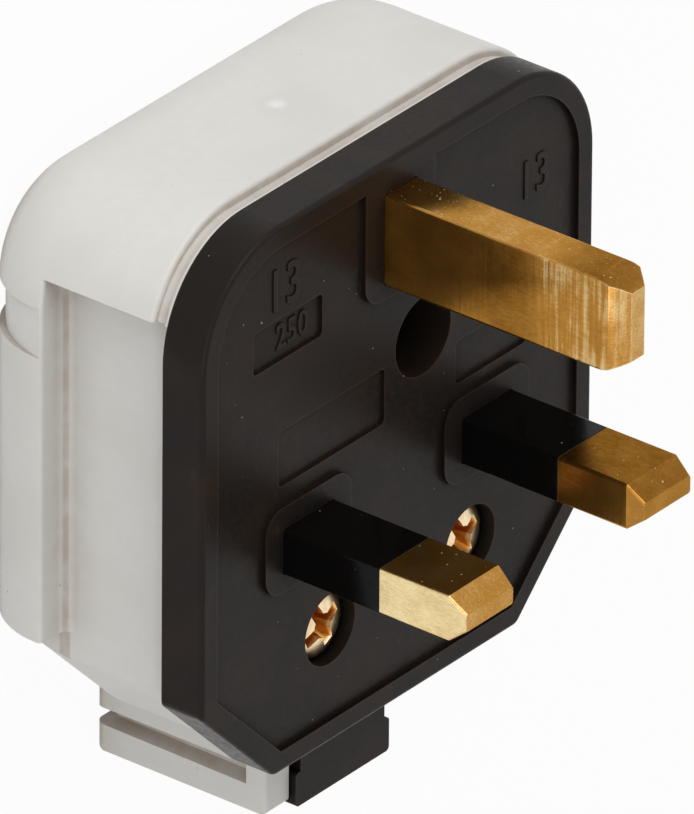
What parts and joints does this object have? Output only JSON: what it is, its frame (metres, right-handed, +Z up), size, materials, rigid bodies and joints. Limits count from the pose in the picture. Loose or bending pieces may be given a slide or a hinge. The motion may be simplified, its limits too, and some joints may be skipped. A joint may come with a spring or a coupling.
{
  "type": "mains plug",
  "caption": "Rewirable rubber mains plug with rectangular pins, sleeved blades, a screwed-on cover with finger grips, a fuse and terminals inside, and a cord entry at its tail.",
  "frame": {"origin": "on the surface that the plug lies on, under the middle of the line through the live and neutral pins", "axes": "+Z up along the pins, +Y from the cord entry towards the earth pin, +X from the live to the neutral pin"},
  "size_m": [0.0486, 0.059, 0.0472],
  "materials": {
    "cover_rubber": "matt pale grey moulded rubber",
    "base_rubber": "satin black moulded rubber",
    "pin_brass": "machined brass with light tarnish",
    "sleeve_plastic": "glossy black insulating sleeve",
    "screw_brass": "turned brass",
    "screw_steel": "steel with yellow passivated plating",
    "fuse_ceramic": "plain fired ceramic",
    "fuse_cap_metal": "pressed metal cap with nickel plating",
    "clip_brass": "pressed spring strip",
    "clamp_plastic": "matt black moulded bar"
  },
  "bodies": {
    "root": {"cover": "cover_rubber", "base": "base_rubber", "earth_pin": "pin_brass", "neutral_pin": "pin_brass", "live_pin": "pin_brass", "live_pin_sleeve": "sleeve_plastic", "neutral_pin_sleeve": "sleeve_plastic", "live_terminal": "pin_brass", "earth_terminal_screw": "screw_brass", "neutral_terminal_screw": "screw_brass", "live_terminal_screw": "screw_brass", "fuse_tube": "fuse_ceramic", "fuse_cap_lower": "fuse_cap_metal", "fuse_cap_upper": "fuse_cap_metal", "fuse_clip_lower": "clip_brass", "fuse_clip_upper": "clip_brass", "cover_screw": "screw_steel", "cover_screw_washer": "screw_steel", "cover_nut": "screw_brass", "cord_clamp": "clamp_plastic", "cord_clamp_screw_left": "screw_steel", "cord_clamp_screw_right": "screw_steel", "cord_clamp_nut_left": "screw_brass", "cord_clamp_nut_right": "screw_brass"}
  },
  "joints": []
}
